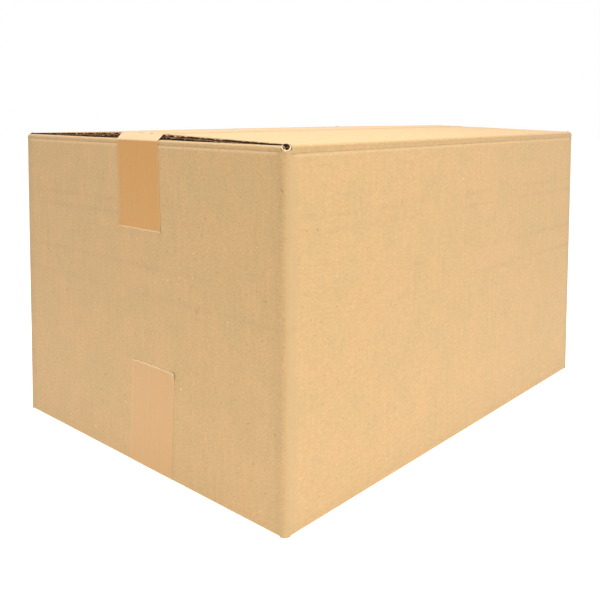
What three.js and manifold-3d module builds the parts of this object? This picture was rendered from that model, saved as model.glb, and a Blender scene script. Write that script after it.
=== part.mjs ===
// A regular slotted carton of single-wall corrugated board, closed and taped top and bottom.
//
// Millimetres, +Z up. X runs along the two long side walls and Y along the two short end walls.
// The origin is on the floor, under the middle of the carton.
//
// The carton is one blank: four walls joined by upright folds, a glued joint at one corner, and a
// row of flaps at the top and at the bottom. The flaps on the end walls go in first. The flaps on
// the side walls go over them and meet along the middle, where the tape holds them.
import * as THREE from "three";
import { mergeVertices } from "three/addons/utils/BufferGeometryUtils.js";
import Module from "manifold-3d";

// The closed carton, outside.
const LENGTH = 412;
const WIDTH = 300;
const HEIGHT = 236; // from the floor side of the bottom flaps up to the folds of the top flaps

// The board and its folds.
const BOARD = 4; // whole thickness
const LINER = 0.5; // each of the two papers that cover the fluting
const FOLD_OUTER = 4.5; // outside radius of a folded edge
const BEND_STEPS = 6; // facets in a quarter turn
const PRESS_ANGLE = THREE.MathUtils.degToRad(60); // how far an inner flap is pressed past its fold
const PRESS_MID = 2.5; // radius of the middle of the board where an inner flap levels out again

// Flaps and the slots between them.
const SEAM_GAP = 1; // between the free edges of the two outer flaps
const OUTER_SLOT = 5; // from the end wall to the cut edge of an outer flap
const INNER_SLOT = 4.5; // from the side wall to the cut edge of an inner flap
const SLOT_DEPTH = 5; // how far the slots run past the folds, which leaves a hole at each corner
const FLAP_GAP = 0.3; // between an inner flap and the outer flap on it
const CRUSH_GAP = 0.25; // between the crushed end of an outer flap and the fold under it
const SEAM_RISE = 4; // how much higher the middle seam of the top is than its folds
const END_CHANNEL = 2; // depth of the open flute along a cut edge

// Pressed score lines along the folds.
const SCORE_DOWN_SIDE = 6.2; // from the folded edge to the line, on the side walls
const SCORE_DOWN_END = 4.4; // the same on the end walls
const SCORE_RADIUS = 1.2;
const SCORE_DEPTH = 0.4;

// The glued joint, at one corner.
const TAB_WIDTH = 35;
const TAB_END = 12; // from the fold to the tab's end
const TAB_TAPER = 8; // how much shorter the tab is at its free edge, at each end
const JOINT_GAP = 2; // from the corner to the raw edge of the end wall

// The tape, modelled thicker than the film so that it stays a solid.
const TAPE_WIDTH = 48;
const TAPE_THICK = 0.2;
const TAPE_GAP = 0.1; // the glue between tape and board
const TAPE_STEPS = 8; // strips across the width where it settles on the ridge
const TOP_LEG = 65; // from the folds down each end wall to the tape's cut end
const BOTTOM_LEG = 77; // from the floor side up each end wall
const TOP_OFFSET = -6; // how far the middle of the tape lies from the middle seam
const BOTTOM_OFFSET = -18.5;
const TOP_DRIFT = -2.4; // sideways slant of the leg over its length, on the end wall at -X
const BOTTOM_DRIFT = -4.2;
const TOOTH_PITCH = 4; // teeth of the torn end
const TOOTH_DEPTH = 1.2;

// All flaps are as long, from the outside of their wall to the free edge.
const FLAP_LENGTH = (WIDTH - SEAM_GAP) / 2;
const FOLD_MID = FOLD_OUTER - BOARD / 2;
const QUARTER = Math.PI / 2;
const TOP_SLOPE = Math.atan2(SEAM_RISE, WIDTH / 2 - FOLD_OUTER);

const wasm = await Module();
wasm.setup();

// A closed geometry as a solid that can be joined and cut.
function solid(geometry) {
  const g = geometry.clone();
  g.deleteAttribute("normal");
  g.deleteAttribute("uv");
  const merged = mergeVertices(g, 1e-4);
  return new wasm.Manifold(
    new wasm.Mesh({
      numProp: 3,
      vertProperties: new Float32Array(merged.attributes.position.array),
      triVerts: new Uint32Array(merged.index.array),
    }),
  );
}

// A solid back as a geometry.
function geometryOf(body) {
  const mesh = body.getMesh();
  const points = new Float32Array(mesh.numVert * 3);
  for (let i = 0; i < mesh.numVert; i++) {
    const at = i * mesh.numProp;
    points.set(mesh.vertProperties.subarray(at, at + 3), i * 3);
  }
  return new THREE.BufferGeometry()
    .setAttribute("position", new THREE.BufferAttribute(points, 3))
    .setIndex(new THREE.BufferAttribute(new Uint32Array(mesh.triVerts), 1));
}

// The section of a sheet that starts at (x, y), heads off at an angle and follows runs and bends.
// A run is a length. A bend turns the sheet by an angle, positive to the left, round its middle.
function sheetSection(thick, x, y, heading, steps) {
  const left = [];
  const right = [];
  const mark = () => {
    const dx = (-Math.sin(heading) * thick) / 2;
    const dy = (Math.cos(heading) * thick) / 2;
    left.push(new THREE.Vector2(x + dx, y + dy));
    right.push(new THREE.Vector2(x - dx, y - dy));
  };
  mark();
  for (const { run, turn, radius } of steps) {
    if (run !== undefined) {
      x += Math.cos(heading) * run;
      y += Math.sin(heading) * run;
      mark();
      continue;
    }
    const side = Math.sign(turn);
    const cx = x - side * Math.sin(heading) * radius;
    const cy = y + side * Math.cos(heading) * radius;
    const parts = Math.max(2, Math.ceil((BEND_STEPS * Math.abs(turn)) / QUARTER));
    for (let i = 0; i < parts; i++) {
      heading += turn / parts;
      x = cx + side * Math.sin(heading) * radius;
      y = cy - side * Math.cos(heading) * radius;
      mark();
    }
  }
  return new THREE.Shape([...right, ...left.reverse()]);
}

// A section drawn inward from a wall and upward, pulled along that wall from one place to another.
// Side 0 is the wall at -Y, 1 at +X, 2 at +Y and 3 at -X, seen in turn round the carton.
function alongWall(section, side, from, to) {
  const geometry = new THREE.ExtrudeGeometry(section, { depth: to - from, bevelEnabled: false });
  const out = side % 2 ? LENGTH / 2 : WIDTH / 2;
  return geometry
    .applyMatrix4(
      new THREE.Matrix4().makeBasis(
        new THREE.Vector3(0, 1, 0),
        new THREE.Vector3(0, 0, 1),
        new THREE.Vector3(1, 0, 0),
      ),
    )
    .translate(from, -out, 0)
    .rotateZ(side * QUARTER);
}

// Side wall with its outer flaps: the top one climbs to the seam and the bottom one lies flat.
function sideSection(thick) {
  const flat = FLAP_LENGTH - FOLD_OUTER;
  return sheetSection(thick, FLAP_LENGTH, BOARD / 2, Math.PI, [
    { run: flat },
    { turn: -QUARTER, radius: FOLD_MID },
    { run: HEIGHT - 2 * FOLD_OUTER },
    { turn: -QUARTER + TOP_SLOPE, radius: FOLD_MID },
    { run: flat / Math.cos(TOP_SLOPE) },
  ]);
}

// End wall with its inner flaps, each pressed past its fold to lie inside the outer flaps.
function endSection(thick) {
  const drop = BOARD + FLAP_GAP;
  const bends = (FOLD_MID + PRESS_MID) * (1 - Math.cos(PRESS_ANGLE));
  const slant = (drop - bends) / Math.sin(PRESS_ANGLE);
  const pressed = (FOLD_MID + PRESS_MID) * Math.sin(PRESS_ANGLE) + slant * Math.cos(PRESS_ANGLE);
  const flat = FLAP_LENGTH - FOLD_OUTER - pressed;
  return sheetSection(thick, FLAP_LENGTH, BOARD / 2 + drop, Math.PI, [
    { run: flat },
    { turn: PRESS_ANGLE, radius: PRESS_MID },
    { run: slant },
    { turn: -PRESS_ANGLE - QUARTER, radius: FOLD_MID },
    { run: HEIGHT - 2 * FOLD_OUTER },
    { turn: -QUARTER - PRESS_ANGLE, radius: FOLD_MID },
    { run: slant },
    { turn: PRESS_ANGLE, radius: PRESS_MID },
    { run: flat },
  ]);
}

// A panel with its two flaps, with the flutes open between the liners along its cut edges.
function panel(section, side, from, to) {
  const open = section(BOARD - 2 * LINER);
  return solid(alongWall(section(BOARD), side, from, to))
    .subtract(solid(alongWall(open, side, from - 1, from + END_CHANNEL)))
    .subtract(solid(alongWall(open, side, to - END_CHANNEL, to + 1)));
}

// Plan of the four walls: three folded corners, and the joint at the corner (+X, +Y), where the
// side wall folds in behind the raw edge of the end wall.
function wallPlan() {
  const x = LENGTH / 2;
  const y = WIDTH / 2;
  const r = FOLD_OUTER;
  const rise = r - JOINT_GAP;
  const meet = Math.asin(rise / r);
  const plan = new THREE.Shape();
  plan.moveTo(-x + r, -y);
  plan.lineTo(x - r, -y);
  plan.absarc(x - r, -y + r, r, -QUARTER, 0, false);
  plan.lineTo(x, y - JOINT_GAP);
  plan.lineTo(x - BOARD, y - JOINT_GAP);
  plan.absarc(x - BOARD - r, y - r, r, meet, QUARTER, false);
  plan.lineTo(-x + r, y);
  plan.absarc(-x + r, y - r, r, QUARTER, 2 * QUARTER, false);
  plan.lineTo(-x, -y + r);
  plan.absarc(-x + r, -y + r, r, 2 * QUARTER, 3 * QUARTER, false);
  const inside = new THREE.Path();
  inside.moveTo(-x + BOARD, -y + BOARD);
  inside.lineTo(-x + BOARD, y - BOARD);
  inside.lineTo(x - BOARD, y - BOARD);
  inside.lineTo(x - BOARD, -y + BOARD);
  inside.closePath();
  plan.holes.push(inside);
  return plan;
}

// The walls between the corner holes.
function walls() {
  const geometry = new THREE.ExtrudeGeometry(wallPlan(), {
    depth: HEIGHT - 2 * SLOT_DEPTH,
    bevelEnabled: false,
    curveSegments: BEND_STEPS,
  });
  return solid(geometry.translate(0, 0, SLOT_DEPTH));
}

// The joint's tab, glued to the inside of the end wall at +X, with tapered ends.
function glueTab() {
  const root = -BOARD / 4;
  const outline = new THREE.Shape([
    new THREE.Vector2(root, TAB_END),
    new THREE.Vector2(TAB_WIDTH, TAB_END + TAB_TAPER),
    new THREE.Vector2(TAB_WIDTH, HEIGHT - TAB_END - TAB_TAPER),
    new THREE.Vector2(root, HEIGHT - TAB_END),
  ]);
  const tab = new THREE.ExtrudeGeometry(outline, { depth: 1.5 * BOARD, bevelEnabled: false });
  const place = new THREE.Matrix4().makeBasis(
    new THREE.Vector3(0, -1, 0),
    new THREE.Vector3(0, 0, 1),
    new THREE.Vector3(-1, 0, 0),
  );
  return solid(tab.applyMatrix4(place).translate(LENGTH / 2 - BOARD / 2, WIDTH / 2 - BOARD, 0));
}

// A score line pressed into the outside of a wall, all along it.
function scoreLine(side, height) {
  const along = side % 2 ? WIDTH : LENGTH;
  const out = side % 2 ? LENGTH / 2 : WIDTH / 2;
  const wheel = new THREE.CylinderGeometry(SCORE_RADIUS, SCORE_RADIUS, along + 2, 12);
  return solid(
    wheel
      .rotateZ(QUARTER)
      .translate(0, -out - SCORE_RADIUS + SCORE_DEPTH, height)
      .rotateZ(side * QUARTER),
  );
}

function carton() {
  const reach = LENGTH / 2 - OUTER_SLOT;
  const inner = WIDTH / 2 - INNER_SLOT;
  const pressed = endSection(BOARD + 2 * CRUSH_GAP);
  let body = walls().add(glueTab());
  for (const side of [1, 3]) {
    body = body.add(panel(endSection, side, -inner, inner));
  }
  for (const side of [0, 2]) {
    // The side wall at +Y folds one board short of the corner, because its tab goes in there.
    const from = side === 2 ? BOARD - reach : -reach;
    let flaps = panel(sideSection, side, from, reach);
    // The outer flaps' ends are crushed where they pass over the folds of the inner ones.
    for (const end of [1, 3]) {
      const room = inner + CRUSH_GAP;
      flaps = flaps.subtract(solid(alongWall(pressed, end, -room, room)));
    }
    body = body.add(flaps);
  }
  for (const side of [0, 1, 2, 3]) {
    const down = side % 2 ? SCORE_DOWN_END : SCORE_DOWN_SIDE;
    body = body.subtract(scoreLine(side, down)).subtract(scoreLine(side, HEIGHT - down));
  }
  return geometryOf(body);
}

// A strip of tape from its section in the XZ plane. Each leg ends at endHeight, and up is 1 where a
// leg climbs from there and -1 where it goes down. The strip is laid beside the middle seam by its
// offset, the leg at -X slants sideways by its drift, and lower(y, z) settles it on the flaps.
function tape(section, { endHeight, up, leg, offset, drift, lower }) {
  const strip = new THREE.ExtrudeGeometry(section, {
    depth: TAPE_WIDTH,
    steps: TAPE_STEPS,
    bevelEnabled: false,
  });
  strip.rotateX(QUARTER).translate(0, TAPE_WIDTH / 2 + offset, 0);
  const points = strip.attributes.position;
  for (let i = 0; i < points.count; i++) {
    const z = points.getZ(i);
    const down = THREE.MathUtils.clamp((endHeight + up * leg - z) * up, 0, leg) / leg;
    const slant = points.getX(i) < 0 ? drift * down : 0;
    points.setY(i, points.getY(i) + slant);
    points.setZ(i, z - lower(points.getY(i), z));
  }
  const near = toothCutter(up).translate(-LENGTH / 2, offset + drift, endHeight);
  const far = toothCutter(up).translate(LENGTH / 2, offset, endHeight);
  return geometryOf(solid(strip).subtract(solid(near)).subtract(solid(far)));
}

// A row of teeth that tears the end of a leg, in the plane of an end wall.
function toothCutter(up) {
  const count = Math.ceil(TAPE_WIDTH / TOOTH_PITCH) + 2;
  const edge = (count * TOOTH_PITCH) / 2;
  const row = new THREE.Shape();
  row.moveTo(-edge, -TOOTH_DEPTH);
  row.lineTo(edge, -TOOTH_DEPTH);
  for (let i = 0; i < count; i++) {
    row.lineTo(edge - i * TOOTH_PITCH, TOOTH_DEPTH / 4);
    row.lineTo(edge - (i + 0.5) * TOOTH_PITCH, TOOTH_DEPTH);
  }
  row.lineTo(-edge, TOOTH_DEPTH / 4);
  const reach = 10 * (TAPE_THICK + TAPE_GAP);
  const cutter = new THREE.ExtrudeGeometry(row, { depth: 2 * reach, bevelEnabled: false });
  return cutter
    .translate(0, 0, -reach)
    .rotateX(up * QUARTER)
    .rotateZ(QUARTER);
}

// The top tape bridges from the fold of each end wall up to the cut edge of the outer flaps.
function topTape() {
  const lift = TAPE_GAP + TAPE_THICK / 2;
  const across = OUTER_SLOT - FOLD_OUTER;
  const upward = SEAM_RISE + FOLD_OUTER;
  const far = Math.hypot(across, upward);
  const touch = Math.atan2(upward, across) + Math.acos(FOLD_OUTER / far);
  const first = 2 * QUARTER - touch;
  const bridge = Math.sqrt(far * far - FOLD_OUTER * FOLD_OUTER);
  const leg = [
    { run: TOP_LEG - FOLD_OUTER },
    { turn: -first, radius: FOLD_OUTER + lift },
    { run: bridge },
    { turn: first - QUARTER, radius: lift },
  ];
  const middle = { run: LENGTH - 2 * OUTER_SLOT };
  const section = sheetSection(TAPE_THICK, -LENGTH / 2 - lift, HEIGHT - TOP_LEG, QUARTER, [
    ...leg,
    middle,
    ...leg.reverse(),
  ]);
  const held = HEIGHT - FOLD_OUTER + (FOLD_OUTER + lift) * Math.sin(touch);
  return tape(section, {
    endHeight: HEIGHT - TOP_LEG,
    up: 1,
    leg: TOP_LEG,
    offset: TOP_OFFSET,
    drift: TOP_DRIFT,
    lower: (y, z) => {
      const share = THREE.MathUtils.clamp((z - held) / (HEIGHT + SEAM_RISE - held), 0, 1);
      return share * Math.abs(y) * Math.tan(TOP_SLOPE);
    },
  });
}

// The bottom tape lies flat under the flaps and turns up both end walls.
function bottomTape() {
  const lift = TAPE_GAP + TAPE_THICK / 2;
  const leg = [{ run: BOTTOM_LEG - FOLD_OUTER }, { turn: QUARTER, radius: FOLD_OUTER + lift }];
  const middle = { run: LENGTH - 2 * FOLD_OUTER };
  const section = sheetSection(TAPE_THICK, -LENGTH / 2 - lift, BOTTOM_LEG, -QUARTER, [
    ...leg,
    middle,
    ...leg.reverse(),
  ]);
  return tape(section, {
    endHeight: BOTTOM_LEG,
    up: -1,
    leg: BOTTOM_LEG,
    offset: BOTTOM_OFFSET,
    drift: BOTTOM_DRIFT,
    lower: () => 0,
  });
}

// Kraft board, and tan film with a little shine.
const kraft = new THREE.MeshStandardMaterial({ color: 0xd2ac7c, roughness: 0.9, metalness: 0 });
const tan = new THREE.MeshStandardMaterial({ color: 0xd9a468, roughness: 0.35, metalness: 0 });

function named(name, geometry, material) {
  const faceted = geometry.toNonIndexed();
  faceted.computeVertexNormals();
  const mesh = new THREE.Mesh(faceted, material);
  mesh.name = name;
  return mesh;
}

// The carton stands on its bottom tape, so the whole of it is lifted by the tape.
const box = new THREE.Group();
box.add(named("carton", carton(), kraft));
box.add(named("tape_top", topTape(), tan));
box.add(named("tape_bottom", bottomTape(), tan));
box.position.z = TAPE_GAP + TAPE_THICK;

const part = new THREE.Group();
part.add(box);

export default part;
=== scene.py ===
"""A closed corrugated carton, folded from one blank and taped top and bottom."""

import functools
import math
import random

import bmesh
import bpy
from bpy.props import FloatProperty, PointerProperty, StringProperty
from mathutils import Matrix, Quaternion, Vector


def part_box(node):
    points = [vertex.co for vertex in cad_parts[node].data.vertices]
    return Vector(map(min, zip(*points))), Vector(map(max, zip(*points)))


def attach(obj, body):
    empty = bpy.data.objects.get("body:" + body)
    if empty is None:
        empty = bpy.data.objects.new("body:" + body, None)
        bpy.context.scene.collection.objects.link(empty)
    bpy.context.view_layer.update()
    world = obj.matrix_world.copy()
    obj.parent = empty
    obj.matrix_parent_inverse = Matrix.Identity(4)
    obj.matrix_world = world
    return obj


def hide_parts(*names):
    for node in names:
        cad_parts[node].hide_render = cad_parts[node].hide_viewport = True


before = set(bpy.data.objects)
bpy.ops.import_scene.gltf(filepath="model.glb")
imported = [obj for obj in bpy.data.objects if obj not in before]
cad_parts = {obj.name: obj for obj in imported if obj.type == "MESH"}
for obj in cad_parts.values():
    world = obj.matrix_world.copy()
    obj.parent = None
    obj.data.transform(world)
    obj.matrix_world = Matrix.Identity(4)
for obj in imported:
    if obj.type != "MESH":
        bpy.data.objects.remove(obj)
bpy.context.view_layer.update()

bl_info = {
    "name": "Corrugated Carton",
    "version": (1, 0, 0),
    "blender": (4, 5, 0),
    "location": "View3D > Sidebar > Carton",
    "description": "Builds a closed, taped carton of corrugated board",
    "category": "Object",
}

MM = 0.001
UP = Vector((0, 0, 1))
CARTON_LOW, CARTON_HIGH = (Vector(corner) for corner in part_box("carton"))

# Two places closer than this are taken as one.
SAME = 0.02 * MM
# A clear step past an edge, to choose what lies beyond it.
HAIR = 0.1 * MM
# From the glued joint's raw edge to the corner.
JOINT_GAP = 0.2 * MM
# Air between the inner and the outer top flaps.
FLAP_GAP = 0.3 * MM
# What its slanted part takes from an inner flap's reach.
SLANT_USES = 12 * MM
# The upright folds stop this far above the bottom.
CORNER_OFF_FLOOR = 0.5 * MM
# At the top they go on this far past the walls' ends.
CORNER_RISE = 1.7 * MM
# Width of a score line's slope on the wall's side, and how faint the bottom ones are.
SCORE_SLOPE = 2.2 * MM
BOTTOM_SCORE = 0.2
# How far the open flute goes into a flap's cut end.
FLUTE_DEPTH = 2 * MM
# Middle of a corner hole, in from the walls' outsides and down from the folds.
HOLE_IN = 3.1 * MM
HOLE_DOWN = 2.2 * MM
# The film is cut into steps this long on its legs.
LEG_STEP = 4 * MM
# A torn end's teeth are this deep, and its corners are loose over this length.
TOOTH_DEPTH = 0.5 * MM
LOOSE = 5 * MM
# Pale film share: a painted highlight on the roof; over the wedge, milky film and painted highlight.
PAINTED_HIGHLIGHT_ON_ROOF = 0.2
MILKY_AND_HIGHLIGHT_OVER_GAP = 0.85
# Heights of the bruised bands, as shares of the wall's height.
BRUISES = (0.534, 0.619, 0.767, 0.809)


def length_property(name, description, default):
    """A size in metres that the panel shows as a length."""
    return FloatProperty(
        name=name, description=description, default=default, unit="LENGTH", precision=5
    )


class CartonSizes(bpy.types.PropertyGroup):
    """Sizes of the board and of its folds."""

    board: length_property("Board", "Thickness of the board", 4 * MM)
    liner: length_property("Liner", "Thickness of a paper on the fluting", 0.5 * MM)
    corner: length_property("Corner", "Outside radius of an upright fold", 4.5 * MM)
    fold: length_property("Fold", "Outside radius of a flap's fold", 2.2 * MM)
    rise: length_property("Seam rise", "Height of the top seam over the folds", 4 * MM)
    outer_slot: length_property("Outer slot", "End wall to an outer flap's edge", 5 * MM)
    inner_slot: length_property("Inner slot", "Side wall to an inner flap's edge", 4.5 * MM)
    slot_depth: length_property("Slot depth", "How far a slot runs past the folds", 5 * MM)
    gap: length_property("Gap", "How much lower the end walls' top folds lie", 0.8 * MM)
    seam: length_property("Seam", "Gap between the outer flaps", 1 * MM)
    score_side: length_property("Side score", "Fold to score line, side walls", 5.3 * MM)
    score_end: length_property("End score", "Fold to score line, end walls", 4.1 * MM)
    score_depth: length_property("Score depth", "How deep a score line is pressed", 0.5 * MM)
    flute: length_property("Flute pitch", "Distance between two flutes", 7.8 * MM)


class TapeSizes(bpy.types.PropertyGroup):
    """Sizes of the two strips of tape."""

    width: length_property("Width", "Width of the tape", 48 * MM)
    film: length_property("Film", "Thickness of the film", 0.1 * MM)
    glue: length_property("Glue line", "Board to the inside of the film", 0.05 * MM)
    top_leg: length_property("Top leg", "Fold to the top tape's torn end", 65 * MM)
    bottom_leg: length_property("Bottom leg", "Floor side to the bottom tape's end", 77 * MM)
    top_offset: length_property("Top offset", "Middle of the top tape from the seam", -6 * MM)
    bottom_offset: length_property("Bottom offset", "The same at the bottom", -18.5 * MM)
    top_drift: length_property("Top slant", "Sideways slant of the top leg", -2.4 * MM)
    bottom_drift: length_property("Bottom slant", "Slant of the bottom leg", -4.2 * MM)
    tooth: length_property("Tooth", "Pitch of the teeth at the torn ends", 4 * MM)


class CartonColours(bpy.types.PropertyGroup):
    """Colours as sRGB hex values."""

    kraft_light: StringProperty(name="Kraft, light", description="Liner", default="A68558")
    kraft_dark: StringProperty(name="Kraft, dark", description="Liner's clouds", default="A18457")
    tape_top: StringProperty(name="Top tape", description="Film over kraft", default="A57738")
    tape_bottom: StringProperty(name="Bottom tape", description="Paler film", default="A27940")
    torn: StringProperty(name="Torn paper", description="Fresh paper at a tear", default="B79E76")


def fold_height(sizes):
    """Height of the side walls' top folds, from which the roof rises to its seam."""
    return CARTON_HIGH.z - sizes.rise


def half_teeth(tape):
    """How many half teeth the torn end has across the film."""
    return round(2 * tape.width / tape.tooth)


def linear(code):
    """An sRGB hex value as linear red, green, blue and alpha."""
    parts = [int(code[i : i + 2], 16) / 255 for i in (0, 2, 4)]
    return (*[c / 12.92 if c <= 0.04045 else ((c + 0.055) / 1.055) ** 2.4 for c in parts], 1.0)


def add_node(tree, kind, links=None, **settings):
    """Adds a node with its settings, its values and its links. A node given as a value stands for
    its first output in use."""
    node = tree.nodes.new(kind)
    for name, value in settings.items():
        setattr(node, name, value)
    for key, value in (links or {}).items():
        if isinstance(value, bpy.types.Node):
            value = next(socket for socket in value.outputs if socket.enabled)
        if isinstance(value, bpy.types.NodeSocket):
            tree.links.new(value, node.inputs[key])
        else:
            node.inputs[key].default_value = value
    return node


def new_material(name):
    """An empty material, and the way to add a node to it."""
    material = bpy.data.materials.new(name)
    material.use_nodes = True
    material.node_tree.nodes.clear()
    return material, functools.partial(add_node, material.node_tree)


def kraft_liner(name, colours, sizes):
    """Kraft linerboard, the brown paper that covers the fluting. It is pulp pressed on a wire, so
    it is matt, faintly clouded and flecked with fibres, and the flutes show through it as ribs."""
    material, add = new_material(name)
    place = add("ShaderNodeTexCoord")
    blank = add("ShaderNodeUVMap", uv_map="blank")
    split = add("ShaderNodeSeparateXYZ", {0: blank})
    across, along = split.outputs[0], split.outputs[1]

    # Faint, duller clouds in the pulp, about 20 mm wide.
    cloud = add(
        "ShaderNodeTexNoise",
        {"Vector": place.outputs["Object"], "Scale": 1 / (20 * MM), "Detail": 5, "Roughness": 0.65},
    )
    cloud_ramp = add("ShaderNodeMapRange", {0: cloud, 1: 0.38, 2: 0.6})
    paper = add(
        "ShaderNodeMix",
        {"Factor": cloud_ramp, "A": linear(colours.kraft_dark), "B": linear(colours.kraft_light)},
        data_type="RGBA",
    )
    # Fibres lie level, 2.4 mm long and drawn 1 mm wide so that they show.
    stretched = add(
        "ShaderNodeMapping", {"Vector": place.outputs["Object"], "Scale": (1.0, 1.0, 2.2)}
    )
    fibre = add(
        "ShaderNodeTexNoise",
        {"Vector": stretched, "Scale": 1 / (2.4 * MM), "Detail": 4.0, "Roughness": 0.8},
    )
    fibre_tone = add("ShaderNodeMapRange", {0: fibre, 1: 0.3, 2: 0.7, 3: 0.85, 4: 1.15})
    # Streaks 3 mm wide along the flutes, where the liner sinks between them.
    upright = add(
        "ShaderNodeMapping", {"Vector": place.outputs["Object"], "Scale": (1.0, 1.0, 0.1)}
    )
    streak = add(
        "ShaderNodeTexNoise",
        {"Vector": upright, "Scale": 1 / (3 * MM), "Detail": 3.0, "Roughness": 0.6},
    )
    streak_tone = add("ShaderNodeMapRange", {0: streak, 1: 0.3, 2: 0.7, 3: 0.97, 4: 1.03})
    grain_tone = add("ShaderNodeMath", {0: fibre_tone, 1: streak_tone}, operation="MULTIPLY")
    fibred = add(
        "ShaderNodeMix",
        {"Factor": 1.0, "A": paper, "B": grain_tone},
        data_type="RGBA",
        blend_type="MULTIPLY",
    )
    # Specks of bark and of bleached pulp, 1 to 2 mm across and far apart.
    speck = add(
        "ShaderNodeTexNoise",
        {"Vector": place.outputs["Object"], "Scale": 1 / (3.2 * MM), "Detail": 1.0},
    )
    dark_speck = add("ShaderNodeMapRange", {0: speck, 1: 0.73, 2: 0.78, 4: 0.4})
    pale_speck = add("ShaderNodeMapRange", {0: speck, 1: 0.24, 2: 0.18, 4: 0.25})
    with_dark = add(
        "ShaderNodeMix",
        {"Factor": dark_speck, "A": fibred, "B": linear("6E4E30")},
        data_type="RGBA",
    )
    flecked = add(
        "ShaderNodeMix",
        {"Factor": pale_speck, "A": with_dark, "B": linear("EBDDC0")},
        data_type="RGBA",
    )

    # The crushed board beside an upright fold is yellower on the side walls. On the end walls the
    # board beside the fold is darkened by painted shade.
    beside = add("ShaderNodeVectorMath", {0: place.outputs["Object"]}, operation="ABSOLUTE")
    beside_split = add("ShaderNodeSeparateXYZ", {0: beside})
    half = CARTON_HIGH.x
    near_fold = add(
        "ShaderNodeMapRange",
        {0: beside_split.outputs[0], 1: half - 13 * MM, 2: half - 6 * MM, 4: 0.6},
        interpolation_type="SMOOTHSTEP",
    )
    worn = add(
        "ShaderNodeMix",
        {"Factor": near_fold, "A": flecked, "B": linear("9C8259")},
        data_type="RGBA",
    )
    # Painted shade: the end walls darken towards the upright fold.
    painted_fold_shade = add(
        "ShaderNodeMapRange",
        {
            0: beside_split.outputs[1],
            1: CARTON_HIGH.y - 16 * MM,
            2: CARTON_HIGH.y - 3 * MM,
            3: 1.0,
            4: 0.93,
        },
        interpolation_type="SMOOTHSTEP",
    )
    end_wall = add("ShaderNodeUVMap", uv_map="end_wall")
    end_split = add("ShaderNodeSeparateXYZ", {0: end_wall})
    toned = add(
        "ShaderNodeMix", {"Factor": end_split.outputs[0], "A": worn, "B": flecked}, data_type="RGBA"
    )
    fold_shade_share = add(
        "ShaderNodeMix", {"Factor": end_split.outputs[0], "A": 1.0, "B": painted_fold_shade}, data_type="FLOAT"
    )
    colour = add(
        "ShaderNodeMix",
        {"Factor": 1.0, "A": toned, "B": fold_shade_share},
        data_type="RGBA",
        blend_type="MULTIPLY",
    )

    # Ribs of the fluting under the liner, one at each flute.
    phase = add("ShaderNodeMath", {0: across, 1: 2 * math.pi / sizes.flute}, operation="MULTIPLY")
    rib = add("ShaderNodeMath", {0: phase}, operation="SINE")
    # Level bands, in patches, where rollers bruised the wall.
    high = fold_height(sizes)
    level = add("ShaderNodeMapRange", {0: along, 1: CARTON_LOW.z, 2: high})
    bruises = add("ShaderNodeValToRGB", {"Fac": level})
    ramp = bruises.color_ramp
    ramp.elements[0].color = ramp.elements[1].color = (0, 0, 0, 1)
    for spot in BRUISES:
        for shift, shade in ((-0.012, 0.0), (0.0, 1.0), (0.012, 0.0)):
            ramp.elements.new(spot + shift).color = (shade, shade, shade, 1)
    patchy = add(
        "ShaderNodeTexNoise",
        {"Vector": place.outputs["Object"], "Scale": 1 / (60 * MM), "Detail": 2.0},
    )
    patch = add("ShaderNodeMapRange", {0: patchy, 1: 0.4, 2: 0.65})
    bruise = add("ShaderNodeMath", {0: bruises, 1: patch}, operation="MULTIPLY")
    rubbed = add("ShaderNodeMapRange", {0: bruise, 3: 1.0, 4: 0.93})
    colour = add(
        "ShaderNodeMix",
        {"Factor": 1.0, "A": colour, "B": rubbed},
        data_type="RGBA",
        blend_type="MULTIPLY",
    )
    # A painted highlight makes a pale line under a top score line, and painted shade darkens the band
    # above it.
    heights = add("ShaderNodeSeparateXYZ", {0: place.outputs["Object"]})
    under_fold = add("ShaderNodeMath", {0: high, 1: heights.outputs[2]}, operation="SUBTRACT")
    line_at = add(
        "ShaderNodeMix",
        {"Factor": end_split.outputs[0], "A": sizes.score_side, "B": sizes.score_end},
        data_type="FLOAT",
    )
    below = add("ShaderNodeMath", {0: under_fold, 1: line_at}, operation="SUBTRACT")
    into_line = add("ShaderNodeMapRange", {0: below, 1: 0.0, 2: 0.7 * MM})
    out_of_line = add("ShaderNodeMapRange", {0: below, 1: 2.8 * MM, 2: 1.1 * MM})
    painted_highlight_line = add("ShaderNodeMath", {0: into_line, 1: out_of_line}, operation="MULTIPLY")
    # The score stops where the upright folds begin.
    off_side = add(
        "ShaderNodeMapRange", {0: beside_split.outputs[0], 1: half - 6 * MM, 2: half - 9 * MM}
    )
    off_end = add(
        "ShaderNodeMapRange",
        {0: beside_split.outputs[1], 1: CARTON_HIGH.y - 6 * MM, 2: CARTON_HIGH.y - 9 * MM},
    )
    scored = add(
        "ShaderNodeMix",
        {"Factor": end_split.outputs[0], "A": off_side, "B": off_end},
        data_type="FLOAT",
    )
    highlight_strength = add("ShaderNodeMath", {0: scored, 1: 0.2}, operation="MULTIPLY")
    highlight_share = add("ShaderNodeMath", {0: painted_highlight_line, 1: highlight_strength}, operation="MULTIPLY")
    highlighted = add(
        "ShaderNodeMix",
        {"Factor": highlight_share, "A": colour, "B": linear("DCC39A")},
        data_type="RGBA",
    )
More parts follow.
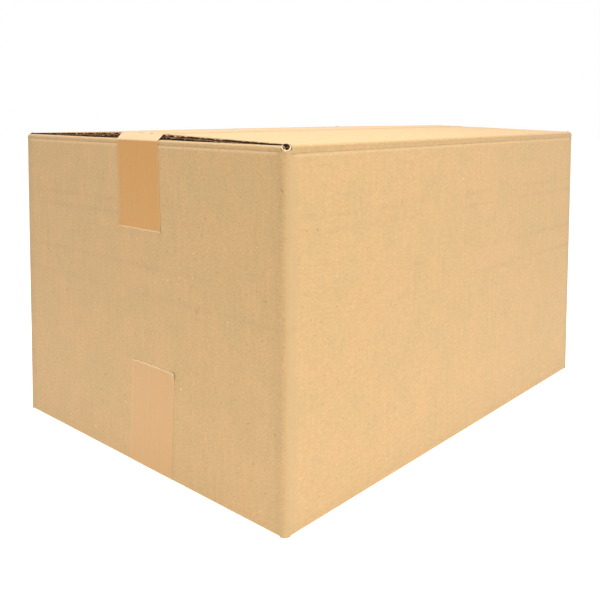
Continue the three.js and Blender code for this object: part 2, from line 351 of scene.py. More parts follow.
    # Painted shade over the band between the fold and the score line, where the score runs.
    painted_shade_above = add("ShaderNodeMapRange", {0: below, 1: 0.6 * MM, 2: -0.2 * MM, 3: 1.0, 4: 0.94})
    shade_band = add("ShaderNodeMapRange", {0: under_fold, 1: 1.2 * MM, 2: 2.2 * MM})
    shade_share = add("ShaderNodeMath", {0: shade_band, 1: scored}, operation="MULTIPLY")
    pressed = add(
        "ShaderNodeMix", {"Factor": shade_share, "A": 1.0, "B": painted_shade_above}, data_type="FLOAT"
    )
    colour = add(
        "ShaderNodeMix",
        {"Factor": 1.0, "A": highlighted, "B": pressed},
        data_type="RGBA",
        blend_type="MULTIPLY",
    )
    rib_height = add("ShaderNodeMath", {0: rib, 1: 0.030}, operation="MULTIPLY")
    fibre_height = add(
        "ShaderNodeMath", {0: fibre, 1: 0.1, 2: rib_height}, operation="MULTIPLY_ADD"
    )
    height = add("ShaderNodeMath", {0: bruise, 1: -0.12, 2: fibre_height}, operation="MULTIPLY_ADD")
    bump = add("ShaderNodeBump", {"Height": height, "Strength": 1.0, "Distance": 1 * MM})
    shader = add(
        "ShaderNodeBsdfPrincipled",
        {
            "Base Color": colour,
            "Roughness": 0.78,
            "Sheen Weight": 0.08,
            "Sheen Roughness": 0.5,
            "IOR": 1.45,
            "Normal": bump,
        },
    )
    add("ShaderNodeOutputMaterial", {"Surface": shader})
    return material


def fluting_medium(name, tint):
    """Fluting medium, recycled pulp seen where the board is cut. It is left torn, and dull. With
    near-black tints it serves as painted shade in hollows.
    """
    material, add = new_material(name)
    place = add("ShaderNodeTexCoord")
    grain = add(
        "ShaderNodeTexNoise",
        {"Vector": place.outputs["Object"], "Scale": 1 / (1.2 * MM), "Detail": 4.0},
    )
    spread = add("ShaderNodeMapRange", {0: grain, 1: 0.35, 2: 0.65})
    tone = add(
        "ShaderNodeMix",
        {"Factor": spread, "A": linear(tint[0]), "B": linear(tint[1])},
        data_type="RGBA",
    )
    bump = add("ShaderNodeBump", {"Height": grain, "Strength": 0.8, "Distance": 0.3 * MM})
    shader = add(
        "ShaderNodeBsdfPrincipled", {"Base Color": tone, "Roughness": 0.95, "Normal": bump}
    )
    add("ShaderNodeOutputMaterial", {"Surface": shader})
    return material


def packing_film(name, code, colours, tape):
    """Polypropylene packing tape with tan glue. The film is drawn out along its length, so it has
    faint streaks that way and a soft gloss, and whitens where a toothed blade tore it."""
    material, add = new_material(name)
    film = add("ShaderNodeUVMap", uv_map="film")
    split = add("ShaderNodeSeparateXYZ", {0: film})
    across, to_end = split.outputs[0], split.outputs[1]
    place = add("ShaderNodeTexCoord")
    # Streaks 3 mm wide, fifty times as long.
    drawn = add("ShaderNodeMapping", {"Vector": film, "Scale": (1.0, 0.02, 1.0)})
    streak = add("ShaderNodeTexNoise", {"Vector": drawn, "Scale": 1 / (3 * MM), "Detail": 3.0})
    streak_tone = add("ShaderNodeMapRange", {0: streak, 1: 0.3, 2: 0.7, 3: 0.98, 4: 1.025})
    cloud = add(
        "ShaderNodeTexNoise",
        {
            "Vector": place.outputs["Object"],
            "Scale": 1 / (2 * MM),
            "Detail": 4.0,
            "Roughness": 0.7,
        },
    )
    cloud_tone = add("ShaderNodeMapRange", {0: cloud, 1: 0.3, 2: 0.7, 3: 0.96, 4: 1.04})
    tone = add("ShaderNodeMath", {0: streak_tone, 1: cloud_tone}, operation="MULTIPLY")
    body = add(
        "ShaderNodeMix",
        {"Factor": 1.0, "A": linear(code), "B": tone},
        data_type="RGBA",
        blend_type="MULTIPLY",
    )
    # Thin glue along both edges lets the paper show through.
    edge = add("ShaderNodeMath", {0: across}, operation="ABSOLUTE")
    edge_share = add(
        "ShaderNodeMapRange",
        {0: edge, 1: tape.width / 2 - 2.2 * MM, 2: tape.width / 2, 4: 0.45},
        interpolation_type="SMOOTHSTEP",
    )
    edged = add(
        "ShaderNodeMix",
        {"Factor": edge_share, "A": body, "B": linear(colours.kraft_light)},
        data_type="RGBA",
    )
    # The last millimetre of a torn end is stretched paler.
    torn = add("ShaderNodeMapRange", {0: to_end, 1: 1.3 * MM, 2: 0.2 * MM, 4: 0.35})
    whitened = add(
        "ShaderNodeMix", {"Factor": torn, "A": edged, "B": linear("F0DDBB")}, data_type="RGBA"
    )
    # Where the film spans a gap its glue touches nothing, and it looks milky; a painted highlight is
    # added there and on the roof.
    milky_and_lit_span = add("ShaderNodeUVMap", uv_map="milky_and_lit_span")
    span_split = add("ShaderNodeSeparateXYZ", {0: milky_and_lit_span})
    colour = add(
        "ShaderNodeMix",
        {"Factor": span_split.outputs[0], "A": whitened, "B": linear("BE9F7C")},
        data_type="RGBA",
    )
    ripple = add("ShaderNodeMath", {0: streak, 1: 0.06}, operation="MULTIPLY")
    grain = add("ShaderNodeMath", {0: cloud, 1: 0.05, 2: ripple}, operation="MULTIPLY_ADD")
    bump = add("ShaderNodeBump", {"Height": grain, "Strength": 1.0, "Distance": 1 * MM})
    shader = add(
        "ShaderNodeBsdfPrincipled",
        {"Base Color": colour, "Roughness": 0.34, "IOR": 1.49, "Normal": bump},
    )
    add("ShaderNodeOutputMaterial", {"Surface": shader})
    return material


def only(piece):
    """Leaves one piece selected and active."""
    for other in list(bpy.context.selected_objects):
        other.select_set(False)
    piece.select_set(True)
    bpy.context.view_layer.objects.active = piece


def edit(piece):
    """Opens one piece in edit mode."""
    only(piece)
    bpy.ops.object.mode_set(mode="EDIT")


def choose(piece, kind, test):
    """Selects what passes the test among the verts, edges or faces of the piece in edit mode."""
    bpy.ops.mesh.select_mode(type=kind)
    bpy.ops.mesh.select_all(action="DESELECT")
    shape = bmesh.from_edit_mesh(piece.data)
    found = False
    for part in {"VERT": shape.verts, "EDGE": shape.edges, "FACE": shape.faces}[kind]:
        if test(part):
            part.select_set(True)
            found = True
    if not found:
        raise RuntimeError(f"nothing to select on {piece.name}")
    bmesh.update_edit_mesh(piece.data)


def middle(part):
    """Middle of an edge or a face."""
    return sum((v.co for v in part.verts), Vector()) / len(part.verts)


def extrude(move):
    bpy.ops.mesh.extrude_region_move(TRANSFORM_OT_translate={"value": move})


def cut_through(point, normal):
    """Cuts the whole piece along a plane."""
    bpy.ops.mesh.select_all(action="SELECT")
    bpy.ops.mesh.bisect(plane_co=point, plane_no=normal)


def turn_out():
    """Makes all faces of the piece in edit mode point outwards."""
    bpy.ops.mesh.select_all(action="SELECT")
    bpy.ops.mesh.normals_make_consistent(inside=False)


def thicken(piece, thickness):
    """Gives a sheet its thickness, inwards from its outside."""
    only(piece)
    wall = piece.modifiers.new("wall", "SOLIDIFY")
    wall.thickness = thickness
    wall.offset = -1
    bpy.ops.object.modifier_apply(modifier=wall.name)


def smooth(degrees):
    """Shades the selected piece smooth over all but its sharper edges."""
    bpy.ops.object.shade_smooth_by_angle(angle=math.radians(degrees))


def follow(point, heading, inward, steps):
    """Pulls the selected edges along runs and bends. A bend is an angle towards the inside of the
    sheet and the outside radius of the sheet there."""
    for kind, amount, radius in steps:
        if kind == "run":
            extrude(heading * amount)
            point = point + heading * amount
            continue
        side = 1 if amount > 0 else -1
        centre = point + inward * radius * side
        axis = heading.cross(inward)
        count = max(3, round(abs(amount) / math.radians(11)))
        bpy.ops.mesh.spin(
            steps=count, angle=-amount, center=centre, axis=axis, use_auto_merge=False
        )
        heading, inward = (
            heading * math.cos(amount) + inward * math.sin(amount),
            inward * math.cos(amount) - heading * math.sin(amount),
        )
        point = centre - inward * radius * side


# The way each wall faces, and whether it is an end wall.
WALLS = (
    (Vector((0, -1, 0)), False),
    (Vector((1, 0, 0)), True),
    (Vector((0, 1, 0)), False),
    (Vector((-1, 0, 0)), True),
)


def wall_out(normal):
    """How far a wall's outside lies from the middle."""
    return CARTON_HIGH.x if abs(normal.x) > 0.5 else CARTON_HIGH.y


class CARTON_OT_blank(bpy.types.Operator):
    """Folds the blank: four walls, the top flaps and the bottom flaps"""

    bl_idname = "carton.blank"
    bl_label = "Folded blank"

    def execute(self, context):
        sizes = context.scene.carton_sizes
        colours = context.scene.carton_colours
        # The walls stop where the slots begin, and the flaps are drawn out of their ends.
        top = fold_height(sizes) - sizes.slot_depth
        bottom = CARTON_LOW.z + sizes.slot_depth
        blank = self.walls(context, sizes, bottom, top)
        self.glued_joint(blank, sizes)
        self.slots(sizes)
        self.flaps(blank, sizes, bottom, top)
        self.corners(blank, sizes, bottom, top)
        self.scores(blank, sizes)
        bpy.ops.object.mode_set(mode="OBJECT")
        thicken(blank, sizes.board)
        self.cut_edges(blank, sizes, colours)
        self.lay_out(blank.data)
        only(blank)
        smooth(32)
        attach(blank, "root")
        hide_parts("carton")
        return {"FINISHED"}

    def walls(self, context, sizes, bottom, top):
        """A tube of four walls with rounded upright folds."""
        size = CARTON_HIGH - CARTON_LOW
        bpy.ops.object.select_all(action="DESELECT")
        bpy.ops.mesh.primitive_cube_add(
            size=1, location=(0, 0, (bottom + top) / 2), scale=(size.x, size.y, top - bottom)
        )
        blank = context.active_object
        blank.name = "folded_blank"
        bpy.ops.object.transform_apply(location=True, rotation=True, scale=True)
        edit(blank)
        choose(blank, "FACE", lambda f: abs(f.normal.z) > 0.5)
        bpy.ops.mesh.delete(type="FACE")
        choose(blank, "EDGE", lambda e: abs((e.verts[0].co - e.verts[1].co).z) > 0.1)
        bpy.ops.mesh.bevel(offset=sizes.corner, offset_type="OFFSET", segments=6)
        return blank

    def glued_joint(self, blank, sizes):
        """At the far corner the end wall's raw edge takes the place of the upright fold."""
        fold_x = CARTON_HIGH.x - sizes.corner
        fold_y = CARTON_HIGH.y - sizes.corner
        choose(
            blank,
            "FACE",
            lambda f: middle(f).x > fold_x + HAIR and middle(f).y > fold_y + HAIR,
        )
        bpy.ops.mesh.delete(type="FACE")
        choose(
            blank,
            "EDGE",
            lambda e: e.is_boundary
            and all(v.co.x > CARTON_HIGH.x - HAIR for v in e.verts)
            and all(abs(v.co.y - fold_y) < HAIR for v in e.verts),
        )
        extrude(Vector((0, sizes.corner - JOINT_GAP, 0)))

    def slots(self, sizes):
        """Cuts lines down the walls from the slots' sides, a hair off the upright folds' edges."""
        for x in (-1, 1):
            cut_through((x * (CARTON_HIGH.x - sizes.outer_slot), 0, 0), (1, 0, 0))
        for y in (-1, 1):
            cut_through((0, y * (CARTON_HIGH.y - sizes.inner_slot - HAIR), 0), (0, 1, 0))

    def flaps(self, blank, sizes, bottom, top):
        """Draws the flaps out of the walls' ends and folds them over."""
        slope = math.atan2(sizes.rise, CARTON_HIGH.y - sizes.fold)
        reach = CARTON_HIGH.y - sizes.seam / 2 - sizes.fold
        # The inner flap is pressed past level, slants down and levels out under the outer flaps.
        press = math.radians(60)
        level_radius = 1 * MM
        drop = sizes.board + FLAP_GAP
        slant = (drop - (sizes.fold + level_radius) * (1 - math.cos(press))) / math.sin(press)
        for normal, is_end in WALLS:
            out = wall_out(normal)
            half = CARTON_HIGH.y - sizes.inner_slot if is_end else CARTON_HIGH.x - sizes.outer_slot
            for up, start in ((1, top), (-1, bottom)):
                choose(
                    blank,
                    "EDGE",
                    lambda e: e.is_boundary
                    and all(abs(v.co.z - start) < SAME for v in e.verts)
                    and all(abs(v.co.dot(normal) - out) < SAME for v in e.verts)
                    and abs(middle(e).dot(UP.cross(normal))) < half,
                )
                run = sizes.slot_depth - sizes.fold
                if is_end:
                    steps = [
                        ("run", run - (sizes.gap if up > 0 else 0), 0),
                        ("bend", math.pi / 2 + press, sizes.fold),
                        ("run", slant, 0),
                        ("bend", -press, level_radius),
                        ("run", reach - SLANT_USES, 0),
                    ]
                else:
                    tilt = slope if up > 0 else 0
                    steps = [
                        ("run", run, 0),
                        ("bend", math.pi / 2 - tilt, sizes.fold),
                        ("run", reach / math.cos(tilt), 0),
                    ]
                follow(normal * out + UP * start, UP * up, -normal, steps)

    def corners(self, blank, sizes, bottom, top):
        """Draws the upright folds on, down to the floor and up to the torn liner."""
        for start, move in (
            (bottom, CORNER_OFF_FLOOR - sizes.slot_depth),
            (top, CORNER_RISE),
        ):
            choose(
                blank,
                "EDGE",
                lambda e: e.is_boundary
                and all(abs(v.co.z - start) < SAME for v in e.verts)
                and abs(middle(e).x) > CARTON_HIGH.x - sizes.outer_slot
                and abs(middle(e).y) > CARTON_HIGH.y - sizes.inner_slot - HAIR,
            )
            extrude(UP * move)
        turn_out()

    def scores(self, blank, sizes):
        """Score lines: a pressed line, with the board swelling from it up to the fold."""
        for normal, is_end in WALLS:
            down = sizes.score_end if is_end else sizes.score_side
            out = wall_out(normal)
            for up in (1, -1):
                fold = fold_height(sizes) if up > 0 else CARTON_LOW.z
                deep = sizes.score_depth if up > 0 else BOTTOM_SCORE * sizes.score_depth
                for slope in (SCORE_SLOPE, 0):
                    choose(
                        blank,
                        "FACE",
                        lambda f: f.normal.dot(normal) > 0.99
                        and middle(f).dot(normal) > out - 1 * MM,
                    )
                    bpy.ops.mesh.bisect(
                        plane_co=(0, 0, fold - up * (down + slope)), plane_no=(0, 0, 1)
                    )
                line = fold - up * down
                choose(
                    blank,
                    "VERT",
                    lambda v: abs(v.co.z - line) < SAME and v.co.dot(normal) > out - HAIR,
                )
                bpy.ops.transform.translate(value=-normal * deep)

    def cut_edges(self, blank, sizes, colours):
        """Opens the cut ends of the outer flaps and gives the raw edges their materials; the opened
        flutes get near-black painted shade.
        """
        end_x = CARTON_HIGH.x - sizes.outer_slot
        end_y = CARTON_HIGH.y - sizes.fold

        def cut_end(face):
            return (
                abs(face.normal.x) > 0.9
                and abs(abs(middle(face).x) - end_x) < 0.3 * MM
                and abs(middle(face).y) < end_y
            )

        def open_flute(face):
            """The hollow's back and long sides, and with them the end walls' unseen inside."""
            deep = end_x - abs(middle(face).x)
            if abs(face.normal.x) > 0.9:
                return 0.3 * MM < abs(deep) < FLUTE_DEPTH + 0.4 * MM
            return (
                abs(face.normal.z) > 0.5
                and abs(deep - FLUTE_DEPTH / 2) < 0.2 * MM
                and face.calc_area() < 0.48 * MM
                and abs(middle(face).y) < end_y
            )

        def joint_edge(face):
            return (
                face.normal.y > 0.9
                and middle(face).x > CARTON_HIGH.x - sizes.corner + HAIR
                and middle(face).y > CARTON_HIGH.y - 0.5 * MM
            )

        blank.data.materials.append(kraft_liner("kraft_liner", colours, sizes))
        # Near-black tints: painted shade in the open flutes under the roof's cut ends.
        blank.data.materials.append(fluting_medium("open_flutes_painted_shade", ("2A1C14", "5A3F2C")))
        blank.data.materials.append(fluting_medium("cut_board", ("8F7049", "B39164")))
        edit(blank)
        choose(blank, "FACE", cut_end)
        bpy.ops.mesh.inset(thickness=sizes.liner, depth=-FLUTE_DEPTH, use_boundary=True)
        for index, test in ((1, open_flute), (2, joint_edge)):
            choose(blank, "FACE", test)
            blank.active_material_index = index
            bpy.ops.object.material_slot_assign()
        bpy.ops.object.mode_set(mode="OBJECT")

    def lay_out(self, mesh):
        """Lays the pattern out flat, as on the blank: across the flutes and along them."""
        blank = mesh.uv_layers.new(name="blank")
        kind = mesh.uv_layers.new(name="end_wall")
        for face in mesh.polygons:
            flat = abs(face.normal.z) > 0.5
            is_end = not flat and abs(face.normal.x) > abs(face.normal.y)
            for i in face.loop_indices:
                at = mesh.vertices[mesh.loops[i].vertex_index].co
                across = at.y if is_end else at.x
                # The flaps' part lies clear of the walls' heights, so it has no bruised bands.
                along = 1 + abs(at.y) if flat else at.z
                blank.data[i].uv = (across, along)
                kind.data[i].uv = (1.0 if is_end else 0.0, 0.0)


class CARTON_OT_cut_paper(bpy.types.Operator):
    """Adds the torn paper that shows in the cut ends of the top flaps and at the corner holes, and
    dark cups of painted shade in the holes
    """

    bl_idname = "carton.cut_paper"
    bl_label = "Torn paper"

    def execute(self, context):
        sizes = context.scene.carton_sizes
        colours = context.scene.carton_colours
        rng = random.Random(7)
        ribbons = []
        # Outer liner, medium and inner liner at each flap's two cut ends, in millimetres.
        for end in (-1, 1):
            for side in (-1, 1):
                at = (sizes, rng, end, side)
                ribbons.append(self.ribbon(*at, deep=0.2, thick=0.3, back=-0.1, ragged=0.3, hang=1.3))
                ribbons.append(self.ribbon(*at, deep=1.7, thick=0.5, back=0.6, ragged=0.7, hang=1.2))
                ribbons.append(self.ribbon(*at, deep=3.75, thick=0.4, back=0, ragged=0.3, hang=0.4))
        paper = self.gather(context, ribbons, "torn_edges")
        paper.data.materials.append(fluting_medium("fluting_medium", ("5A4231", "B89468")))
        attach(paper, "root")
        cups = []
        rings = []
        high = fold_height(sizes)
        for x in (-1, 1):
            for y in (-1, 1):
                place = Vector((x * (CARTON_HIGH.x - HOLE_IN), y * (CARTON_HIGH.y - HOLE_IN), 0))
                place.z = high - HOLE_DOWN
                out = Vector((x, y, 1.1)).normalized()
                cups.append(self.cup(place, out))
                rings.append(self.ring(rng, place + out * 1 * MM, out, high - 0.3 * MM))
        # The cups are painted shade: near-black sheets where the hole shows the carton's inside.
        shade_cups = self.gather(context, cups, "corner_painted_shade_cups")
        shade_cups.data.materials.append(fluting_medium("painted_shade_hollow", ("150F0B", "2C2019")))
        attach(shade_cups, "root")
        torn = self.gather(context, rings, "torn_liner_rings")
        torn.data.materials.append(fluting_medium("torn_liner", (colours.torn, "D2BE98")))
        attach(torn, "root")
        return {"FINISHED"}

    def gather(self, context, pieces, name):
        """Joins pieces of one kind."""
        bpy.ops.object.select_all(action="DESELECT")
        for piece in pieces:
            piece.select_set(True)
        context.view_layer.objects.active = pieces[0]
        bpy.ops.object.join()
        context.active_object.name = name
        return context.active_object

    def cup(self, place, out):
        """A dark cup in an open corner: painted shade that stands for the carton's dark inside seen
        through the hole.
        """
        bpy.ops.object.select_all(action="DESELECT")
        bpy.ops.mesh.primitive_uv_sphere_add(
            segments=24, ring_count=14, radius=2.7 * MM, location=place
        )
        cup = bpy.context.active_object
        bpy.ops.object.transform_apply(location=True, rotation=True, scale=True)
        edit(cup)
        choose(cup, "FACE", lambda f: f.normal.dot(out) > 0.25)
        bpy.ops.mesh.delete(type="FACE")
        bpy.ops.mesh.select_all(action="SELECT")
        bpy.ops.mesh.flip_normals()
        bpy.ops.object.mode_set(mode="OBJECT")
        thicken(cup, 0.2 * MM)
        smooth(40)
        return cup

    def ring(self, rng, place, out, ceiling):
        """Torn liner round an open corner, kept under the roof."""
        bpy.ops.object.select_all(action="DESELECT")
        bpy.ops.mesh.primitive_torus_add(
            major_segments=40,
            minor_segments=8,
            major_radius=2.55 * MM,
            minor_radius=0.34 * MM,
            location=place,
            rotation=out.to_track_quat("Z", "Y").to_euler(),
        )
        ring = bpy.context.active_object
        bpy.ops.object.transform_apply(location=True, rotation=True, scale=True)
        for vertex in ring.data.vertices:
            vertex.co += out * rng.uniform(-0.3, 0.3) * MM
            vertex.co += Vector([rng.uniform(-0.15, 0.15) for _ in range(3)]) * MM
            vertex.co.z = min(vertex.co.z, ceiling)
        smooth(50)
        return ring

    def ribbon(self, sizes, rng, end, side, deep, thick, back, ragged, hang):
        """One torn edge of paper at a flap's cut end, from its fold to the seam. It lies this deep
        under the roof and stands back from the cut, with a ragged edge that hangs in places."""
        high = fold_height(sizes)
        fold_y = CARTON_HIGH.y - sizes.fold
        seam_y = sizes.seam / 2 + 0.2 * MM
        length = fold_y - seam_y
        x = end * (CARTON_HIGH.x - sizes.outer_slot - back * MM)
        bpy.ops.object.select_all(action="DESELECT")
        bpy.ops.mesh.primitive_plane_add(size=1, location=(x, side * (fold_y + seam_y) / 2, high))
        piece = bpy.context.active_object
        piece.scale = (0.9 * MM, length, 1)
        bpy.ops.object.transform_apply(location=True, rotation=True, scale=True)
        edit(piece)
        choose(piece, "EDGE", lambda e: abs((e.verts[0].co - e.verts[1].co).y) > length / 2)
        bpy.ops.mesh.subdivide(number_cuts=int(length / (1.6 * MM)))
        bpy.ops.mesh.select_all(action="SELECT")
        extrude((0, 0, -thick * MM))
        turn_out()
        bpy.ops.object.mode_set(mode="OBJECT")
        slope = sizes.rise / fold_y
        lift = {}
        reach = {}
        for vertex in piece.data.vertices:
            key = round(vertex.co.y, 5)
            lift.setdefault(key, rng.random() ** 2.5)
            reach.setdefault(key, rng.uniform(-ragged * MM, ragged * MM))
            rise = (fold_y - abs(vertex.co.y)) * slope
            vertex.co.z += rise + (thick / 2 - deep) * MM
            if (vertex.co.x - x) * end > 0:
                vertex.co.x += end * reach[key]
                vertex.co.z -= hang * MM * lift[key] * min(1, rise / (3 * MM) + 0.1)
        return piece


class CARTON_OT_tapes(bpy.types.Operator):
    """Lays the two strips of tape over the seams and down the end walls"""

    bl_idname = "carton.tapes"
    bl_label = "Tape"

    def execute(self, context):
        sizes = context.scene.carton_sizes
        tape = context.scene.carton_tape
        colours = context.scene.carton_colours
        for on_top in (True, False):
            leg = tape.top_leg if on_top else tape.bottom_leg
            # Height of the torn ends, and the way back from them along the leg.
            torn = fold_height(sizes) - leg if on_top else CARTON_LOW.z + leg
            up = 1 if on_top else -1
            strip = self.lay(context, on_top, sizes, tape, leg)
            self.divide(strip, tape, leg, torn, up)
            self.lay_out(strip.data, on_top, torn, up)
            self.settle(strip.data, on_top, sizes, tape, leg, torn, up)
            thicken(strip, tape.film)
            smooth(40)
            code = colours.tape_top if on_top else colours.tape_bottom
            name = "tan_film_top" if on_top else "tan_film_bottom"
            strip.data.materials.append(packing_film(name, code, colours, tape))
            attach(strip, "root")
            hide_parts("tape_top" if on_top else "tape_bottom")
        return {"FINISHED"}

    def lay(self, context, on_top, sizes, tape, leg):
        """Lays the level part over the seam and draws a leg from it along each end wall."""
        lift = tape.glue + tape.film
        level = CARTON_HIGH.z + lift if on_top else CARTON_LOW.z - lift
        reach = CARTON_HIGH.x - (sizes.outer_slot if on_top else sizes.fold)
        bpy.ops.object.select_all(action="DESELECT")
        bpy.ops.mesh.primitive_plane_add(size=1, location=(0, 0, level))
        strip = context.active_object
        strip.name = "tape_over_top" if on_top else "tape_under_bottom"
        strip.scale = (2 * reach, tape.width, 1)
        bpy.ops.object.transform_apply(location=True, rotation=True, scale=True)
        bend = 0
        steps = []
        if on_top:
            # Down from the flaps' cut edge to the fold, which it meets at a tangent.
            across = sizes.outer_slot - sizes.fold
            drop = sizes.rise + sizes.fold
            far = math.hypot(across, drop)
            bend = math.atan2(drop, across) + math.acos(sizes.fold / far) - math.pi / 2
            bridge = math.sqrt(far * far - sizes.fold * sizes.fold)
            steps = [("bend", bend, lift), ("run", bridge, 0)]
        steps += [
            ("bend", math.pi / 2 - bend, sizes.fold + lift),
            ("run", leg - sizes.fold, 0),
        ]
        edit(strip)
        for end in (-1, 1):
            choose(strip, "EDGE", lambda e: all(v.co.x * end > reach - SAME for v in e.verts))
            inward = -UP if on_top else UP
            follow(Vector((end * reach, 0, level)), Vector((end, 0, 0)), inward, steps)
        return strip

    def divide(self, strip, tape, leg, torn, up):
        """Cuts along and across, so that the strip can settle, slant and tear."""
        count = half_teeth(tape)
        for i in range(1, count):
            cut_through((0, tape.width * i / count - tape.width / 2, 0), (0, 1, 0))
        for i in range(int(leg / LEG_STEP)):
            cut_through((0, 0, torn + up * (i + 0.5) * LEG_STEP), (0, 0, 1))
        turn_out()
        bpy.ops.object.mode_set(mode="OBJECT")
        # An open sheet has no outside of its own, so the level part's way decides.
        level_part = max(strip.data.polygons, key=lambda f: f.area)
        if level_part.normal.z * up < 0:
            edit(strip)
            bpy.ops.mesh.select_all(action="SELECT")
            bpy.ops.mesh.flip_normals()
            bpy.ops.object.mode_set(mode="OBJECT")

    def lay_out(self, mesh, on_top, torn, up):
        """Notes across the film, along it from the torn end, and how pale it is painted: milky film
        and painted highlight.
        """
        film = mesh.uv_layers.new(name="film")
        for loop in mesh.loops:
            at = mesh.vertices[loop.vertex_index].co
            if abs(at.x) < CARTON_HIGH.x - 1 * MM:
                to_end = 1 + CARTON_HIGH.x - abs(at.x)
            else:
                to_end = max((at.z - torn) * up, 0)
            film.data[loop.index].uv = (at.y, to_end)
        milky_and_lit_span = mesh.uv_layers.new(name="milky_and_lit_span")
        for face in mesh.polygons:
            highlight_and_milky = 0.0
            # Roof: painted highlight. Over the gap: milky film with a painted highlight.
            if on_top and abs(face.normal.x) < 0.3:
                highlight_and_milky = PAINTED_HIGHLIGHT_ON_ROOF
            elif on_top and face.normal.z > 0.2:
                highlight_and_milky = MILKY_AND_HIGHLIGHT_OVER_GAP
            for i in face.loop_indices:
                milky_and_lit_span.data[i].uv = (highlight_and_milky, 0.0)

    def settle(self, mesh, on_top, sizes, tape, leg, torn, up):
        """Lays the strip on the ridge, slants its leg, tears its ends and lifts its loose corners."""
        rng = random.Random(11 if on_top else 12)
        high = fold_height(sizes)
        half = tape.width / 2
        offset = tape.top_offset if on_top else tape.bottom_offset
        drift = tape.top_drift if on_top else tape.bottom_drift
        slope = sizes.rise / (CARTON_HIGH.y - sizes.fold)
        for vertex in mesh.vertices:
            at = vertex.co
            across = at.y
            to_end = (at.z - torn) * up
            share = min(max((leg - to_end) / leg, 0), 1) if at.x < 0 else 0
            at.y += offset + drift * share
            if on_top and at.z > high - sizes.fold:
                settled = (at.z - high + 1 * MM) / (sizes.rise + 1 * MM)
                at.z -= abs(at.y) * slope * min(max(settled, 0), 1)
            if abs(to_end) < SAME:
                line = round((across + half) / tape.width * half_teeth(tape))
                deep = TOOTH_DEPTH if line % 2 else 0
                at.z += up * (deep + rng.uniform(0, 0.7 * MM))
            # The corners of the torn end stand off the wall a little.
            corner = max(0, abs(across) - half + LOOSE) / LOOSE
            near = max(0, 1 - max(to_end, 0) / LOOSE)
            side = 1 if at.x > 0 else -1
            stand_off = 0.9 * MM if (across < 0) == (not on_top) else 0.5 * MM
            at.x += side * stand_off * corner * near


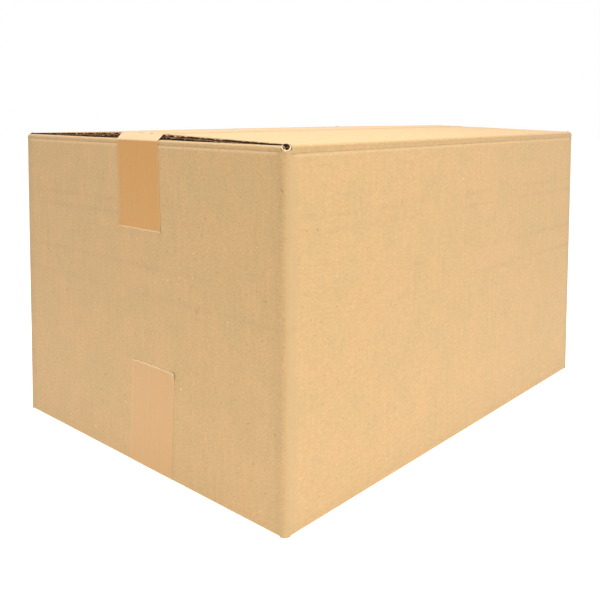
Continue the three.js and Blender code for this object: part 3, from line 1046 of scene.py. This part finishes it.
class CARTON_OT_stage(bpy.types.Operator):
    """Sets the floor, the lights and the camera"""

    bl_idname = "carton.stage"
    bl_label = "Stage"

    def execute(self, context):
        scene = context.scene
        width = CARTON_HIGH.y - CARTON_LOW.y
        half_length = CARTON_HIGH.x
        half_width = CARTON_HIGH.y
        bpy.ops.object.select_all(action="DESELECT")
        bpy.ops.mesh.primitive_plane_add(size=12, location=(0, 0, 0))
        floor = context.active_object
        floor.name = "pale_floor"
        floor.data.materials.append(self.light_table())

        world = bpy.data.worlds.new("white_room")
        scene.world = world
        world.use_nodes = True
        sky = world.node_tree.nodes["Background"]
        sky.inputs["Color"].default_value = (1, 1, 1, 1)
        sky.inputs["Strength"].default_value = 1.0

        # Each softbox has its place, what it points at, its side in metres and its watts.
        self.softbox(context, "top_softbox", (-0.14, -0.14, 0.95), (-0.1, -0.05, 0.24), 0.45, 10)
        self.softbox(context, "side_softbox", (-0.28, -1.3, 0.5), (-0.1, 0, 0.12), 0.9, 4.5)
        self.softbox(context, "front_softbox", (-0.62, -0.86, 0.35), (-0.2, -0.15, 0.12), 0.4, 1.9)

        data = bpy.data.cameras.new("photo_camera")
        camera = bpy.data.objects.new("photo_camera", data)
        scene.collection.objects.link(camera)
        # The focal length is 755 for a frame 600 wide, and the shift is a raised lens.
        data.sensor_width = 36
        data.lens = 755 / 600 * data.sensor_width
        data.shift_y = -0.24
        data.clip_start = 0.01
        # It stands about the carton's width off each of the two walls that it sees.
        camera.location = (
            -half_length - 1.059 * width,
            -half_width - 0.989 * width,
            0.854 * width,
        )
        pitch = math.radians(3.47)
        yaw = math.radians(42.0)
        roll = math.radians(0.22)
        aim = Vector(
            (
                math.cos(yaw) * math.cos(pitch),
                math.sin(yaw) * math.cos(pitch),
                -math.sin(pitch),
            )
        )
        camera.rotation_mode = "QUATERNION"
        tilt = Quaternion((0, 0, 1), roll)
        camera.rotation_quaternion = aim.to_track_quat("-Z", "Y") @ tilt
        scene.camera = camera
        scene.view_settings.view_transform = "Standard"
        return {"FINISHED"}

    def light_table(self):
        """Opal acrylic lit softly from below, brightest under the carton."""
        material, add = new_material("opal_acrylic_light_table")
        place = add("ShaderNodeTexCoord")
        far = add("ShaderNodeVectorMath", {0: place.outputs["Object"]}, operation="LENGTH")
        glow = add(
            "ShaderNodeMapRange",
            {0: far, 1: 0.2, 2: 0.75, 3: 0.85, 4: 0.25},
            interpolation_type="SMOOTHSTEP",
        )
        shader = add(
            "ShaderNodeBsdfPrincipled",
            {
                "Base Color": linear("EDECEA"),
                "Roughness": 0.9,
                "Emission Color": (1, 1, 1, 1),
                "Emission Strength": glow,
            },
        )
        add("ShaderNodeOutputMaterial", {"Surface": shader})
        return material

    def softbox(self, context, name, place, target, size, power):
        data = bpy.data.lights.new(name, "AREA")
        data.shape = "SQUARE"
        data.size = size
        data.energy = power
        light = bpy.data.objects.new(name, data)
        context.scene.collection.objects.link(light)
        light.location = place
        aim = Vector(target) - Vector(place)
        light.rotation_mode = "QUATERNION"
        light.rotation_quaternion = aim.to_track_quat("-Z", "Y")


class CARTON_PT_panel(bpy.types.Panel):
    """Lists the sizes, the colours and the steps"""

    bl_idname = "CARTON_PT_panel"
    bl_label = "Corrugated Carton"
    bl_space_type = "VIEW_3D"
    bl_region_type = "UI"
    bl_category = "Carton"

    def draw(self, context):
        layout = self.layout
        for group in ("carton_sizes", "carton_tape", "carton_colours"):
            settings = getattr(context.scene, group)
            box = layout.box()
            for name in settings.__annotations__:
                box.prop(settings, name)
        for operator in STEPS:
            layout.operator(operator.bl_idname)


STEPS = (CARTON_OT_stage, CARTON_OT_blank, CARTON_OT_cut_paper, CARTON_OT_tapes)
CLASSES = (CartonSizes, TapeSizes, CartonColours, *STEPS, CARTON_PT_panel)


def register():
    for cls in CLASSES:
        bpy.utils.register_class(cls)
    bpy.types.Scene.carton_sizes = PointerProperty(type=CartonSizes)
    bpy.types.Scene.carton_tape = PointerProperty(type=TapeSizes)
    bpy.types.Scene.carton_colours = PointerProperty(type=CartonColours)


def unregister():
    del bpy.types.Scene.carton_colours
    del bpy.types.Scene.carton_tape
    del bpy.types.Scene.carton_sizes
    for cls in reversed(CLASSES):
        bpy.utils.unregister_class(cls)


def main():
    register()
    bpy.ops.carton.stage()
    bpy.ops.carton.blank()
    bpy.ops.carton.cut_paper()
    bpy.ops.carton.tapes()


if __name__ == "__main__":
    main()
